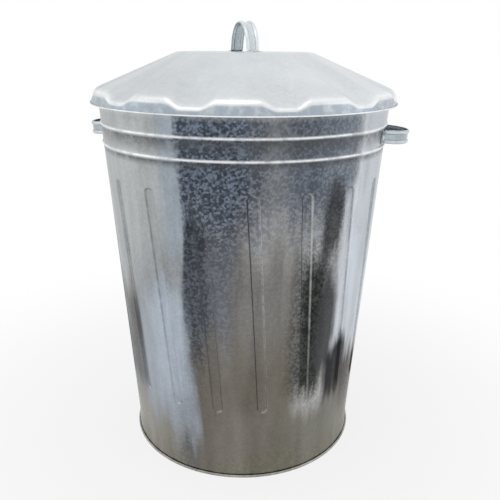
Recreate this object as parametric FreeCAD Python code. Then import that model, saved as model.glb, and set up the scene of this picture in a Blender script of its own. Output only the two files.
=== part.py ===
"""Galvanized steel bin of about 90 litres with a loose fluted lid, in millimetres.

Origin at the centre of the base on the floor, +Z up.  The two side handles lie on -X and +X.
The bin is a rolled tapering sheet with two swaged beads, a ring of pressed ribs, a wired rim and a
base pan hemmed round its lower edge.  The lid is one deep pressing with twelve flutes that stops on
the wired rim, and carries a riveted strap handle of the same section as the side handles.
"""

import FreeCAD
import Part
import math
import os

os.makedirs("parts", exist_ok=True)

# sheets and fits
WALL_SHEET = 0.7
BASE_SHEET = 0.8
LID_SHEET = 0.7
STRAP_SHEET = 1.2
SEAT_GAP = 0.1
LID_SEAT_GAP = 0.3
JOIN_TOLERANCE = 0.001

# body cone, measured on its outer face
BODY_FOOT_RADIUS = 194.5
BODY_TAPER = 0.0668
RIM_HEIGHT = 601.0
RIM_WIRE_RADIUS = 2.0
RIM_CURL_SWEEP = 300.0

# lower edge of the body, flared a little into the hem of the base pan
FLARE_TOP = 30.0
FLARE_BOTTOM = 8.0
FLARE_RADIUS = 197.3
WALL_EDGE_HEIGHT = 1.3

# swaged beads round the body, counted down from the top of the rim
BEAD_DROPS = (72.5, 42.0)
BEAD_HALF_WIDTH = 3.6
BEAD_RISE = 1.9

# ribs pressed into the body, leaning a little as they go down
RIB_COUNT = 18
RIB_TOP_DROP = 118.0
RIB_BOTTOM = 124.0
RIB_HALF_WIDTH = 9.0
RIB_DEPTH = 3.0
RIB_DRAFT = 2.2
RIB_FIRST_ANGLE = 16.9
RIB_LEAN = 5.75

# grooved lock seam of the rolled sheet
SEAM_ANGLE = 187.0
SEAM_WIDTH = 9.0
SEAM_RISE = 1.2
SEAM_BOTTOM = 34.0
SEAM_TOP_DROP = 15.0

# base pan
PAN_HEIGHT = 22.0
PAN_CORNER_RADIUS = 5.0
PAN_DISH = 4.0
PAN_DISH_RADIUS = 150.0
PAN_STEP_WIDTH = 10.0
HEM_HOLLOW_RADIUS = 1.6
HEM_FLAT_WIDTH = 1.0
HEM_CLOSING_SWEEP = 172.0

# lid pressing, measured on its outer face along a ridge between two flutes
LID_DISC_RISE = 64.8
LID_DISC_RADIUS = 108.0
LID_DISC_ROUNDING = 22.0
LID_SLOPE = 0.4246
LID_SKIRT_REACH = 12.7
LID_SKIRT_PLAY = 5.1
LID_SKIRT_DRAFT = 0.13
LID_SHOULDER_ROUNDING = 9.0
LID_HEM_RADIUS = 0.75
LID_HEM_SWEEP = 220.0

# flutes of the lid
FLUTE_COUNT = 12
FLUTE_FIRST_ANGLE = 24.0
FLUTE_OVERRUN = 10.0
FLUTE_INNER_HALF_WIDTH = 24.0
FLUTE_OUTER_HALF_WIDTH = 33.0
FLUTE_START_DEPTH = 1.6
FLUTE_START_STEP = 4.0
# the cutter's arc runs on past the flute's edges by this factor
FLUTE_ARC_EXCESS = 1.2

# strap handles: pressed strip with a half-round ridge along each edge
STRAP_WIDTH = 19.0
STRAP_RIDGE_WIDTH = 4.4
STRAP_RIDGE_RISE = 1.8
STRAP_BEND_RADIUS = 5.0
STRAP_LEG_ANGLE = 78.0
TAB_WIDTH = 20.0
TAB_LENGTH = 22.0
TAB_LAP = 1.0

SIDE_HANDLE_DROP = 58.5
SIDE_HANDLE_REACH = 37.0
SIDE_RIVET_OFFSET = 50.0

LID_HANDLE_ANGLE = 29.0
LID_HANDLE_RISE = 46.7
LID_RIVET_OFFSET = 56.0

# rivets
RIVET_SHANK_RADIUS = 2.2
RIVET_HOLE_RADIUS = 2.35
RIVET_HEAD_RADIUS = 4.8
RIVET_HEAD_RISE = 2.2
RIVET_TAIL_RADIUS = 4.0
RIVET_TAIL_RISE = 1.2


def body_radius(height):
    """Outer radius of the body cone at a height."""
    return BODY_FOOT_RADIUS + BODY_TAPER * height


def at(radius, height):
    """A point of a profile that is turned about the Z axis."""
    return FreeCAD.Vector(radius, 0, height)


def line(start, end):
    return Part.LineSegment(start, end).toShape()


def arc(start, middle, end):
    return Part.Arc(start, middle, end).toShape()


def arc_about(centre, radius, first, last):
    """Arc in the XZ plane between two angles in degrees, counted from +X towards +Z."""
    points = []
    for degrees in (first, (first + last) / 2, last):
        turn = math.radians(degrees)
        points.append(centre + FreeCAD.Vector(radius * math.cos(turn), 0, radius * math.sin(turn)))
    return arc(*points)


def tangent_arc(start, direction, end):
    """Arc in the XZ plane that leaves start along direction and reaches end."""
    chord = end - start
    along = FreeCAD.Vector(direction).normalize()
    side = FreeCAD.Vector(-along.z, 0, along.x)
    radius = chord.dot(chord) / (2 * chord.dot(side))
    centre = start + side * radius
    middle = (start + end) * 0.5 - centre
    middle.normalize()
    return arc(start, centre + middle * abs(radius), end)


def rounded_path(corners, roundings):
    """Edges through the corner points, with the named rounding radius at each inner corner."""
    edges = []
    previous = corners[0]
    for index, radius in enumerate(roundings, start=1):
        corner = corners[index]
        back = (corners[index - 1] - corner).normalize()
        ahead = (corners[index + 1] - corner).normalize()
        half = back.getAngle(ahead) / 2
        reach = radius / math.tan(half)
        centre = corner + (back + ahead).normalize() * (radius / math.sin(half))
        first = corner + back * reach
        last = corner + ahead * reach
        middle = centre + (corner - centre).normalize() * radius
        edges += [line(previous, first), arc(first, middle, last)]
        previous = last
    edges.append(line(previous, corners[-1]))
    return edges


def turned_sheet(edges, thickness):
    """Sheet of revolution: the profile line, thickened to its left (or right where negative)."""
    face = Part.Wire(edges).makeOffset2D(thickness, 2, True, True, True)
    return face.revolve(FreeCAD.Vector(0, 0, 0), FreeCAD.Vector(0, 0, 1), 360)


def turned_solid(edges):
    """Solid of revolution between the Z axis and a profile line that starts and ends off it."""
    first = edges[0].Vertexes[0].Point
    last = edges[-1].Vertexes[-1].Point
    closing = [
        line(last, at(0, last.z)),
        line(at(0, last.z), at(0, first.z)),
        line(at(0, first.z), first),
    ]
    face = Part.Face(Part.Wire(edges + closing))
    return face.revolve(FreeCAD.Vector(0, 0, 0), FreeCAD.Vector(0, 0, 1), 360)


def framed(shape, origin, across, along):
    """Move a shape from its own axes to origin, its X along across and its Y along along."""
    x_axis = FreeCAD.Vector(across).normalize()
    z_axis = x_axis.cross(along).normalize()
    y_axis = z_axis.cross(x_axis)
    matrix = FreeCAD.Matrix(
        x_axis.x, y_axis.x, z_axis.x, origin.x,
        x_axis.y, y_axis.y, z_axis.y, origin.y,
        x_axis.z, y_axis.z, z_axis.z, origin.z,
        0, 0, 0, 1,
    )
    moved = shape.copy()
    moved.Placement = FreeCAD.Placement(matrix).multiply(moved.Placement)
    return moved


def patterned(shape, count, first_angle):
    """Copies of a shape round the Z axis, the first one turned by first_angle."""
    copies = []
    for index in range(count):
        copy = shape.copy()
        turn = first_angle + 360.0 * index / count
        copy.rotate(FreeCAD.Vector(0, 0, 0), FreeCAD.Vector(0, 0, 1), turn)
        copies.append(copy)
    return copies


# places that follow from the sizes above
BEAD_HEIGHTS = [RIM_HEIGHT - drop for drop in BEAD_DROPS]
RIB_TOP = RIM_HEIGHT - RIB_TOP_DROP
SEAM_TOP = RIM_HEIGHT - SEAM_TOP_DROP
SIDE_HANDLE_HEIGHT = RIM_HEIGHT - SIDE_HANDLE_DROP
LID_DISC_HEIGHT = RIM_HEIGHT + LID_DISC_RISE
LID_RIM_HEIGHT = RIM_HEIGHT - LID_SKIRT_REACH
FLUTE_START_RADIUS = LID_DISC_RADIUS + FLUTE_START_STEP
FLUTE_INNER_RADIUS = LID_DISC_RADIUS - FLUTE_OVERRUN


# Directions on the body cone below: the front of the bin is -Y, and angles run from there to +X.

def cone_frame(degrees, height):
    """Point on the body cone, with the directions across and up the slope."""
    turn = math.radians(degrees)
    radial = FreeCAD.Vector(math.sin(turn), -math.cos(turn), 0)
    across = FreeCAD.Vector(math.cos(turn), math.sin(turn), 0)
    upward = (radial * BODY_TAPER + FreeCAD.Vector(0, 0, 1)).normalize()
    origin = radial * body_radius(height) + FreeCAD.Vector(0, 0, height)
    return origin, across, upward


def slot_outline(half_length, half_width, level):
    """Slot with round ends, lying along its own Y, at a level."""
    straight = half_length - half_width
    right = FreeCAD.Vector(half_width, straight, level)
    left = FreeCAD.Vector(-half_width, straight, level)
    crown = FreeCAD.Vector(0, half_length, level)
    low_left = FreeCAD.Vector(-half_width, -straight, level)
    low_right = FreeCAD.Vector(half_width, -straight, level)
    sole = FreeCAD.Vector(0, -half_length, level)
    return Part.Wire([
        arc(right, crown, left),
        line(left, low_left),
        arc(low_left, sole, low_right),
        line(low_right, right),
    ])


def rib_tool(skin):
    """Solid that one rib takes out of the cone, grown on all sides by skin."""
    draft = RIB_DRAFT / RIB_DEPTH
    spread = skin * math.hypot(1, draft)
    half_length = (RIB_TOP - RIB_BOTTOM) / 2
    depth = RIB_DEPTH + skin
    outlines = []
    for level in (-depth, RIB_DEPTH):
        grown = draft * level + spread
        outlines.append(slot_outline(half_length + grown, RIB_HALF_WIDTH + grown, level))
    tool = Part.makeLoft(outlines, True, True)
    height = (RIB_TOP + RIB_BOTTOM) / 2
    origin, across, upward = cone_frame(0, height)
    shift = body_radius(height) * math.radians(RIB_LEAN)
    leaning = (upward * (RIB_TOP - RIB_BOTTOM) - across * shift).normalize()
    return framed(tool, origin, leaning.cross(across.cross(upward)), leaning)


def wall_path():
    """Outer face of the body sheet from its lower edge to the end of the rim curl."""
    slope = at(BODY_TAPER, 1)
    flare_top = at(body_radius(FLARE_TOP), FLARE_TOP)
    flare_bottom = at(FLARE_RADIUS, FLARE_BOTTOM)
    edges = [line(at(FLARE_RADIUS, WALL_EDGE_HEIGHT), flare_bottom)]
    edges.append(tangent_arc(flare_top, slope * -1, flare_bottom))
    here = flare_top
    for height in BEAD_HEIGHTS:
        low = at(body_radius(height - BEAD_HALF_WIDTH), height - BEAD_HALF_WIDTH)
        crest = at(body_radius(height) + BEAD_RISE, height)
        high = at(body_radius(height + BEAD_HALF_WIDTH), height + BEAD_HALF_WIDTH)
        edges += [line(here, low), arc(low, crest, high)]
        here = high
    centre = rim_curl_centre()
    tilt = math.atan(BODY_TAPER)
    curl_start = centre - at(math.cos(tilt), -math.sin(tilt)) * curl_radius()
    curl_angle = 180.0 - math.degrees(tilt)
    edges.append(line(here, curl_start))
    edges.append(arc_about(centre, curl_radius(), curl_angle, curl_angle - RIM_CURL_SWEEP))
    return edges


def curl_radius():
    """Inner radius of the rim curl, round its wire."""
    return RIM_WIRE_RADIUS + SEAT_GAP


def rim_curl_centre():
    """Centre of the rim curl, which is also that of its wire; the curl leaves the wall tangentially."""
    height = RIM_HEIGHT - curl_radius() - WALL_SHEET
    return at(body_radius(height) + curl_radius() * math.hypot(1, BODY_TAPER), height)


def rivet_hole(origin, outward):
    """Cutter for a rivet hole that runs through the sheets near its origin."""
    reach = RIVET_HEAD_RADIUS
    return Part.makeCylinder(RIVET_HOLE_RADIUS, 2 * reach, origin - outward * reach, outward)


def tab_tilt():
    """Angle between the foot tabs of a side handle and the tangent midway between them."""
    return math.asin(SIDE_RIVET_OFFSET / body_radius(SIDE_HANDLE_HEIGHT))


def tab_sag():
    """Fall of the wall from the tangent plane at the middle of a side handle to its rivets."""
    return body_radius(SIDE_HANDLE_HEIGHT) * (1 - math.cos(tab_tilt()))


def side_rivets(side):
    """Rivet seats on the wall under the side handle at +X (side 1) or -X (side -1), square to its tabs."""
    origin, across, upward = cone_frame(90.0 * side, SIDE_HANDLE_HEIGHT)
    outward = across.cross(upward)
    seats = []
    for hand in (-1, 1):
        seat = origin + across * (hand * SIDE_RIVET_OFFSET) - outward * tab_sag()
        normal = outward * math.cos(tab_tilt()) + across * (hand * math.sin(tab_tilt()))
        seats.append((seat, normal))
    return seats


def make_body_wall():
    wall = turned_sheet(wall_path(), WALL_SHEET)
    core_top = RIB_TOP + 2 * RIB_HALF_WIDTH
    core = turned_solid([
        line(at(body_radius(0) - WALL_SHEET / 2, 0), at(body_radius(core_top) - WALL_SHEET / 2, core_top)),
    ])
    pressed = [tool.common(core) for tool in patterned(rib_tool(WALL_SHEET), RIB_COUNT, RIB_FIRST_ANGLE)]
    seam_length = math.hypot(SEAM_TOP - SEAM_BOTTOM, body_radius(SEAM_TOP) - body_radius(SEAM_BOTTOM))
    seam = Part.makeBox(SEAM_WIDTH, seam_length, SEAM_RISE + WALL_SHEET / 2)
    seam.translate(FreeCAD.Vector(-SEAM_WIDTH / 2, 0, -WALL_SHEET / 2))
    seam = framed(seam, *cone_frame(SEAM_ANGLE, SEAM_BOTTOM))
    wall = wall.multiFuse(pressed + [seam], JOIN_TOLERANCE)
    holes = [rivet_hole(*seat) for side in (-1, 1) for seat in side_rivets(side)]
    return wall.cut(patterned(rib_tool(0), RIB_COUNT, RIB_FIRST_ANGLE) + holes, JOIN_TOLERANCE)


def make_rim_wire():
    centre = rim_curl_centre()
    return Part.makeTorus(centre.x, RIM_WIRE_RADIUS, at(0, centre.z), FreeCAD.Vector(0, 0, 1))


def make_base_pan():
    """Dished pan: its flange runs down inside the wall and hems round the wall's lower edge."""
    hem_height = HEM_HOLLOW_RADIUS + BASE_SHEET
    flange_foot = FLARE_RADIUS - WALL_SHEET / 2 - HEM_HOLLOW_RADIUS - HEM_FLAT_WIDTH / 2
    flange_head = body_radius(PAN_HEIGHT) - WALL_SHEET - SEAT_GAP
    corners = [
        at(0, PAN_HEIGHT + PAN_DISH),
        at(PAN_DISH_RADIUS - PAN_STEP_WIDTH, PAN_HEIGHT + PAN_DISH),
        at(PAN_DISH_RADIUS, PAN_HEIGHT),
        at(flange_head, PAN_HEIGHT),
        at(flange_foot, hem_height),
    ]
    edges = rounded_path(corners, [PAN_STEP_WIDTH, PAN_STEP_WIDTH, PAN_CORNER_RADIUS])
    inner_centre = at(flange_foot + HEM_HOLLOW_RADIUS, hem_height)
    outer_centre = inner_centre + at(HEM_FLAT_WIDTH, 0)
    to_sole = at(0, -HEM_HOLLOW_RADIUS)
    edges += [
        arc_about(inner_centre, HEM_HOLLOW_RADIUS, 180, 270),
        line(inner_centre + to_sole, outer_centre + to_sole),
        arc_about(outer_centre, HEM_HOLLOW_RADIUS, 270, 270 + HEM_CLOSING_SWEEP),
    ]
    return turned_sheet(edges, -BASE_SHEET)


def ridge_height(radius):
    """Height of the lid's outer face along a ridge, on the slope between disc and shoulder."""
    return LID_DISC_HEIGHT - LID_SLOPE * (radius - LID_DISC_RADIUS)


def flute_floor_line():
    """Height where the flute floors start, and their fall: their underside ends on the wired rim."""
    start_height = ridge_height(FLUTE_START_RADIUS) - FLUTE_START_DEPTH
    run = rim_curl_centre().x - FLUTE_START_RADIUS
    drop = start_height - RIM_HEIGHT - LID_SEAT_GAP
    sheet_share = LID_SHEET * math.sqrt(drop ** 2 + run ** 2 - LID_SHEET ** 2)
    return start_height, (drop * run - sheet_share) / (run ** 2 - LID_SHEET ** 2)


def skirt_radius():
    """Outer radius of the lid's skirt at its foot, which passes over the rim with some play."""
    rim_reach = rim_curl_centre().x + curl_radius() + WALL_SHEET
    return rim_reach + LID_SKIRT_PLAY + LID_SHEET * math.hypot(1, LID_SKIRT_DRAFT)


def flute_section(radius, half_width, skin):
    """Cross-section of a flute: a dished floor between two edges, open upwards."""
    start_height, fall = flute_floor_line()
    floor = start_height - fall * (radius - FLUTE_START_RADIUS)
    rise = ridge_height(radius) - floor
    dish = (half_width ** 2 + rise ** 2) / (2 * rise)
    drop = skin * math.hypot(1, fall)
    centre = floor + dish
    spread = math.asin(half_width / dish) * FLUTE_ARC_EXCESS
    reach = dish + drop
    edge = reach * math.sin(spread)
    height = centre - reach * math.cos(spread)
    headroom = LID_DISC_HEIGHT + FLUTE_OVERRUN
    left = FreeCAD.Vector(-edge, -radius, height)
    right = FreeCAD.Vector(edge, -radius, height)
    top_left = FreeCAD.Vector(-edge, -radius, headroom)
    top_right = FreeCAD.Vector(edge, -radius, headroom)
    return Part.Wire([
        arc(left, FreeCAD.Vector(0, -radius, centre - reach), right),
        line(right, top_right),
        line(top_right, top_left),
        line(top_left, left),
    ])


def flute_tool(skin):
    inner = flute_section(FLUTE_INNER_RADIUS, FLUTE_INNER_HALF_WIDTH, skin)
    outer = flute_section(skirt_radius() + FLUTE_OVERRUN, FLUTE_OUTER_HALF_WIDTH, skin)
    return Part.makeLoft([inner, outer], True, True)


def lid_path(inset):
    """Outer face of the lid along a ridge, from the axis to the skirt; inset moves it inwards."""
    foot = LID_RIM_HEIGHT + LID_HEM_RADIUS + LID_SHEET
    disc = LID_DISC_HEIGHT - inset
    slope_drop = inset * math.hypot(1, LID_SLOPE)
    skirt_inset = inset * math.hypot(1, LID_SKIRT_DRAFT)
    disc_corner = LID_DISC_RADIUS - (slope_drop - inset) / LID_SLOPE
    skirt_foot = skirt_radius() - skirt_inset
    # the slope and the skirt meet where both lines have the same radius
    level = ridge_height(skirt_foot) - slope_drop
    shoulder = (level - LID_SLOPE * LID_SKIRT_DRAFT * foot) / (1 - LID_SLOPE * LID_SKIRT_DRAFT)
    corners = [
        at(0, disc),
        at(disc_corner, disc),
        at(skirt_foot - LID_SKIRT_DRAFT * (shoulder - foot), shoulder),
        at(skirt_foot, foot),
    ]
    return rounded_path(corners, [LID_DISC_ROUNDING - inset, LID_SHOULDER_ROUNDING - inset])


def lid_rivets():
    turn = math.radians(LID_HANDLE_ANGLE)
    along = FreeCAD.Vector(math.sin(turn), -math.cos(turn), 0)
    up = FreeCAD.Vector(0, 0, 1)
    return [(along * (hand * LID_RIVET_OFFSET) + up * LID_DISC_HEIGHT, up) for hand in (-1, 1)]


def make_lid_pressing():
    edges = lid_path(0)
    foot = edges[-1].Vertexes[-1].Point
    hem = arc_about(foot + at(LID_HEM_RADIUS, 0), LID_HEM_RADIUS, 180, 180 + LID_HEM_SWEEP)
    pressing = turned_sheet(edges + [hem], -LID_SHEET)
    core_edges = lid_path(LID_SHEET / 2)
    core = turned_solid(core_edges[1:])
    flutes = patterned(flute_tool(LID_SHEET), FLUTE_COUNT, FLUTE_FIRST_ANGLE)
    pressed = [tool.common(core) for tool in flutes]
    holes = [rivet_hole(*seat) for seat in lid_rivets()]
    pressing = pressing.multiFuse(pressed, JOIN_TOLERANCE)
    return pressing.cut(patterned(flute_tool(0), FLUTE_COUNT, FLUTE_FIRST_ANGLE) + holes, JOIN_TOLERANCE)


def strap_section():
    """Closed section of the strap: X across its width, Y out of its inner face."""
    half = STRAP_WIDTH / 2
    root = half - STRAP_RIDGE_WIDTH
    crest = half - STRAP_RIDGE_WIDTH / 2
    crown = STRAP_SHEET + STRAP_RIDGE_RISE
    hollow = STRAP_RIDGE_WIDTH / 2 - STRAP_SHEET

    def point(across, out):
        return FreeCAD.Vector(across, out, 0)

    return Part.Wire([
        arc(point(-half, 0), point(-crest, crown), point(-root, STRAP_SHEET)),
        line(point(-root, STRAP_SHEET), point(root, STRAP_SHEET)),
        arc(point(root, STRAP_SHEET), point(crest, crown), point(half, 0)),
        line(point(half, 0), point(crest + hollow, 0)),
        arc(point(crest + hollow, 0), point(crest, STRAP_RIDGE_RISE), point(crest - hollow, 0)),
        line(point(crest - hollow, 0), point(hollow - crest, 0)),
        arc(point(hollow - crest, 0), point(-crest, STRAP_RIDGE_RISE), point(-crest - hollow, 0)),
        line(point(-crest - hollow, 0), point(-half, 0)),
    ])


def make_strap(rivet_offset, seat_height, tilt, inner_height):
    """Handle in its own axes: X from foot to foot, Z out of the surface that carries it.

    The tabs lie at seat_height under their rivets, tilted by tilt towards the middle, and the inner
    face of the arch rises to inner_height.
    """
    leg = math.radians(STRAP_LEG_ANGLE)
    inward = at(math.cos(tilt), math.sin(tilt))
    tab_centre = at(-rivet_offset, seat_height)
    tab_end = tab_centre + inward * (TAB_LENGTH / 2)
    # the leg length and the arch radius follow from the width and the height that are left
    run = -tab_end.x - STRAP_BEND_RADIUS * (math.sin(leg) - math.sin(tilt))
    rise = inner_height - tab_end.z - STRAP_BEND_RADIUS * (math.cos(tilt) - math.cos(leg))
    spread = math.sin(leg) ** 2 - math.cos(leg) * (1 - math.cos(leg))
    arch_radius = (run * math.sin(leg) - rise * math.cos(leg)) / spread
    leg_length = (run - arch_radius * math.sin(leg)) / math.cos(leg)

    lap_start = tab_end - inward * TAB_LAP
    bend_centre = tab_end + at(-math.sin(tilt), math.cos(tilt)) * STRAP_BEND_RADIUS
    bend_end = bend_centre + at(math.sin(leg), -math.cos(leg)) * STRAP_BEND_RADIUS
    bend_turn = (tilt + leg) / 2
    bend_middle = bend_centre + at(math.sin(bend_turn), -math.cos(bend_turn)) * STRAP_BEND_RADIUS
    leg_end = bend_end + at(math.cos(leg), math.sin(leg)) * leg_length
    crown = at(0, inner_height)

    def mirrored(place):
        return at(-place.x, place.z)

    path = Part.Wire([
        line(lap_start, tab_end),
        arc(tab_end, bend_middle, bend_end),
        line(bend_end, leg_end),
        arc(leg_end, crown, mirrored(leg_end)),
        line(mirrored(leg_end), mirrored(bend_end)),
        arc(mirrored(bend_end), mirrored(bend_middle), mirrored(tab_end)),
        line(mirrored(tab_end), mirrored(lap_start)),
    ])
    section = framed(strap_section(), lap_start, FreeCAD.Vector(0, 1, 0), at(-math.sin(tilt), math.cos(tilt)))
    strap = path.makePipeShell([section], True, False)
    tabs = []
    for hand in (-1, 1):
        tab = make_tab()
        centre = at(hand * rivet_offset, seat_height)
        direction = at(-hand * math.cos(tilt), math.sin(tilt))
        tabs.append(framed(tab, centre, direction, FreeCAD.Vector(0, -hand, 0)))
    return strap.fuse(tabs)


def make_tab():
    """Foot tab lying on its own XY plane, its rivet hole at the origin and its round end at -X."""
    half = TAB_WIDTH / 2
    square_end = TAB_LENGTH / 2
    round_start = half - TAB_LENGTH / 2
    corners = [
        FreeCAD.Vector(square_end, -half, 0),
        FreeCAD.Vector(square_end, half, 0),
        FreeCAD.Vector(round_start, half, 0),
        FreeCAD.Vector(round_start, -half, 0),
    ]
    outline = Part.Wire([
        line(corners[0], corners[1]),
        line(corners[1], corners[2]),
        arc(corners[2], FreeCAD.Vector(-square_end, 0, 0), corners[3]),
        line(corners[3], corners[0]),
    ])
    plate = Part.Face(outline).extrude(FreeCAD.Vector(0, 0, STRAP_SHEET))
    return plate.cut(rivet_hole(FreeCAD.Vector(0, 0, 0), FreeCAD.Vector(0, 0, 1)))


def make_side_handle(side):
    inner_height = SIDE_HANDLE_REACH - STRAP_SHEET - STRAP_RIDGE_RISE
    strap = make_strap(SIDE_RIVET_OFFSET, SEAT_GAP - tab_sag(), tab_tilt(), inner_height)
    return framed(strap, *cone_frame(90.0 * side, SIDE_HANDLE_HEIGHT))


def make_lid_handle():
    inner_height = LID_HANDLE_RISE - STRAP_SHEET - STRAP_RIDGE_RISE
    strap = make_strap(LID_RIVET_OFFSET, SEAT_GAP, 0.0, inner_height)
    turn = math.radians(LID_HANDLE_ANGLE)
    along = FreeCAD.Vector(math.sin(turn), -math.cos(turn), 0)
    origin = FreeCAD.Vector(0, 0, LID_DISC_HEIGHT)
    return framed(strap, origin, along, FreeCAD.Vector(0, 0, 1).cross(along))


def make_rivet(seat, outward, sheet):
    """Dome-headed rivet through a foot tab and the sheet under it, seat on the sheet's outer face."""
    head_seat = STRAP_SHEET + SEAT_GAP + SEAT_GAP / 2
    tail_seat = -(sheet + SEAT_GAP)
    profile = [
        line(at(RIVET_TAIL_RADIUS, tail_seat - RIVET_TAIL_RISE), at(RIVET_TAIL_RADIUS, tail_seat)),
        line(at(RIVET_TAIL_RADIUS, tail_seat), at(RIVET_SHANK_RADIUS, tail_seat)),
        line(at(RIVET_SHANK_RADIUS, tail_seat), at(RIVET_SHANK_RADIUS, head_seat)),
        line(at(RIVET_SHANK_RADIUS, head_seat), at(RIVET_HEAD_RADIUS, head_seat)),
    ]
    dome = tangent_arc(at(0, head_seat + RIVET_HEAD_RISE), at(1, 0), at(RIVET_HEAD_RADIUS, head_seat))
    closing = [
        line(at(0, head_seat + RIVET_HEAD_RISE), at(0, tail_seat - RIVET_TAIL_RISE)),
        line(at(0, tail_seat - RIVET_TAIL_RISE), at(RIVET_TAIL_RADIUS, tail_seat - RIVET_TAIL_RISE)),
    ]
    face = Part.Face(Part.Wire(profile + [dome] + closing))
    rivet = face.revolve(FreeCAD.Vector(0, 0, 0), FreeCAD.Vector(0, 0, 1), 360)
    across = FreeCAD.Vector(0, 0, 1).cross(outward)
    if across.Length < 0.5:
        across = FreeCAD.Vector(1, 0, 0)
    return framed(rivet, seat, across, outward.cross(across))


def make_rivets(seats, sheet):
    return Part.makeCompound([make_rivet(seat, outward, sheet) for seat, outward in seats])


parts = {
    "body_wall": make_body_wall(),
    "rim_wire": make_rim_wire(),
    "base_pan": make_base_pan(),
    "right_handle": make_side_handle(1),
    "right_handle_rivets": make_rivets(side_rivets(1), WALL_SHEET),
    "left_handle": make_side_handle(-1),
    "left_handle_rivets": make_rivets(side_rivets(-1), WALL_SHEET),
    "lid_pressing": make_lid_pressing(),
    "lid_handle": make_lid_handle(),
    "lid_handle_rivets": make_rivets(lid_rivets(), LID_SHEET),
}

for name, shape in parts.items():
    print(name, shape.ShapeType, "solids", len(shape.Solids), "valid", shape.isValid(),
          "volume", round(shape.Volume, 1))
    shape.exportStep("parts/" + name + ".step")
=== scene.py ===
import math

import bmesh
import bpy
from mathutils import Matrix, Vector


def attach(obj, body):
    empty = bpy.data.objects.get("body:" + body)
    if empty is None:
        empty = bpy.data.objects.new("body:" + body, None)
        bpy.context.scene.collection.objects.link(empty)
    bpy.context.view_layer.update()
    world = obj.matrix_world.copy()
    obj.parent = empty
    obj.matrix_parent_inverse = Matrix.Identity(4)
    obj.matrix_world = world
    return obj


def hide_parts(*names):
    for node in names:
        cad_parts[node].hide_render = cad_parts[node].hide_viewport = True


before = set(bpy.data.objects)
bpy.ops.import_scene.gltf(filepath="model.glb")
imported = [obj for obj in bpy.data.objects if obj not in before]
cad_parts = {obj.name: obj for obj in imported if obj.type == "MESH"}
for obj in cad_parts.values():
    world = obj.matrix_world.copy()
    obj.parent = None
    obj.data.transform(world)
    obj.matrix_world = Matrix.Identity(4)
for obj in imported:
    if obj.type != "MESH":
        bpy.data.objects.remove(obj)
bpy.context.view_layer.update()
MM = 0.001


# Body sheet: one galvanized sheet rolled to a taper and locked at a back seam. Two beads are
# rolled into it near the top, eighteen long ribs are pressed in below them, and its upper edge is
# curled outwards over a wire.

def rounded_line(corners, roundings, steps):
    """Points in mm along the corner points, with the given rounding radius at each inner corner."""
    points = [Vector(corners[0])]
    for index, radius in enumerate(roundings, start=1):
        corner = Vector(corners[index])
        back = (Vector(corners[index - 1]) - corner).normalized()
        ahead = (Vector(corners[index + 1]) - corner).normalized()
        half = back.angle(ahead) / 2
        centre = corner + (back + ahead).normalized() * (radius / math.sin(half))
        first = corner + back * (radius / math.tan(half)) - centre
        turn = first.angle_signed(corner + ahead * (radius / math.tan(half)) - centre)
        points += [centre + turned(first, turn * step / steps) for step in range(steps + 1)]
    points.append(Vector(corners[-1]))
    return points


def turned(arm, turn):
    """A flat arm turned the way that angle_signed counts."""
    return Vector((arm.x * math.cos(turn) + arm.y * math.sin(turn),
                   arm.y * math.cos(turn) - arm.x * math.sin(turn)))


def arc_line(centre, radius, first, last, steps):
    """Points in mm on an arc between two angles in degrees."""
    turns = [math.radians(first + (last - first) * step / steps) for step in range(steps + 1)]
    return [Vector((centre[0] + radius * math.cos(t), centre[1] + radius * math.sin(t))) for t in turns]


def spun(outline, steps, arc=math.tau):
    """A sheet in metres turned about the upright axis from an outline of (radius, height) in mm."""
    bm = bmesh.new()
    verts = [bm.verts.new((point.x * MM, 0, point.y * MM)) for point in outline]
    for one, other in zip(verts, verts[1:]):
        bm.edges.new((one, other))
    bmesh.ops.spin(bm, geom=bm.verts[:] + bm.edges[:], cent=(0, 0, 0), axis=(0, 0, 1),
                   angle=arc, steps=steps, use_merge=arc == math.tau)
    bmesh.ops.remove_doubles(bm, verts=bm.verts[:], dist=1e-6)
    return bm


def settled(name, bm, body, node, finish, sheet=0.0, offset=-1.0, edge=0.0):
    """A piece from a finished bmesh: smooth, with its wall, on its body, in the place of its node."""
    mesh = bpy.data.meshes.new(name)
    bm.to_mesh(mesh)
    bm.free()
    mesh.polygons.foreach_set("use_smooth", [True] * len(mesh.polygons))
    mesh.materials.append(finish)
    piece = bpy.data.objects.new(name, mesh)
    bpy.context.scene.collection.objects.link(piece)
    if sheet:
        wall = piece.modifiers.new("wall", "SOLIDIFY")
        wall.thickness = sheet * MM
        wall.offset = offset
        wall.use_even_offset = True
    if edge:
        soft = piece.modifiers.new("soft edge", "BEVEL")
        soft.width = edge * MM
        soft.segments = 2
        soft.limit_method = "ANGLE"
        soft.angle_limit = math.radians(50)
    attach(piece, body)
    if node:
        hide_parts(node)
    return piece


def facing_out(bm, middle=None):
    """Recalculates the normals of an open sheet so that it faces away from its axis or from middle."""
    bmesh.ops.recalc_face_normals(bm, faces=bm.faces[:])
    total = 0.0
    for face in bm.faces:
        spot = face.calc_center_median()
        away = spot - middle if middle else Vector((spot.x, spot.y, 0))
        total += face.normal.dot(away) * face.calc_area()
    if total < 0:
        bmesh.ops.reverse_faces(bm, faces=bm.faces[:])


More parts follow.
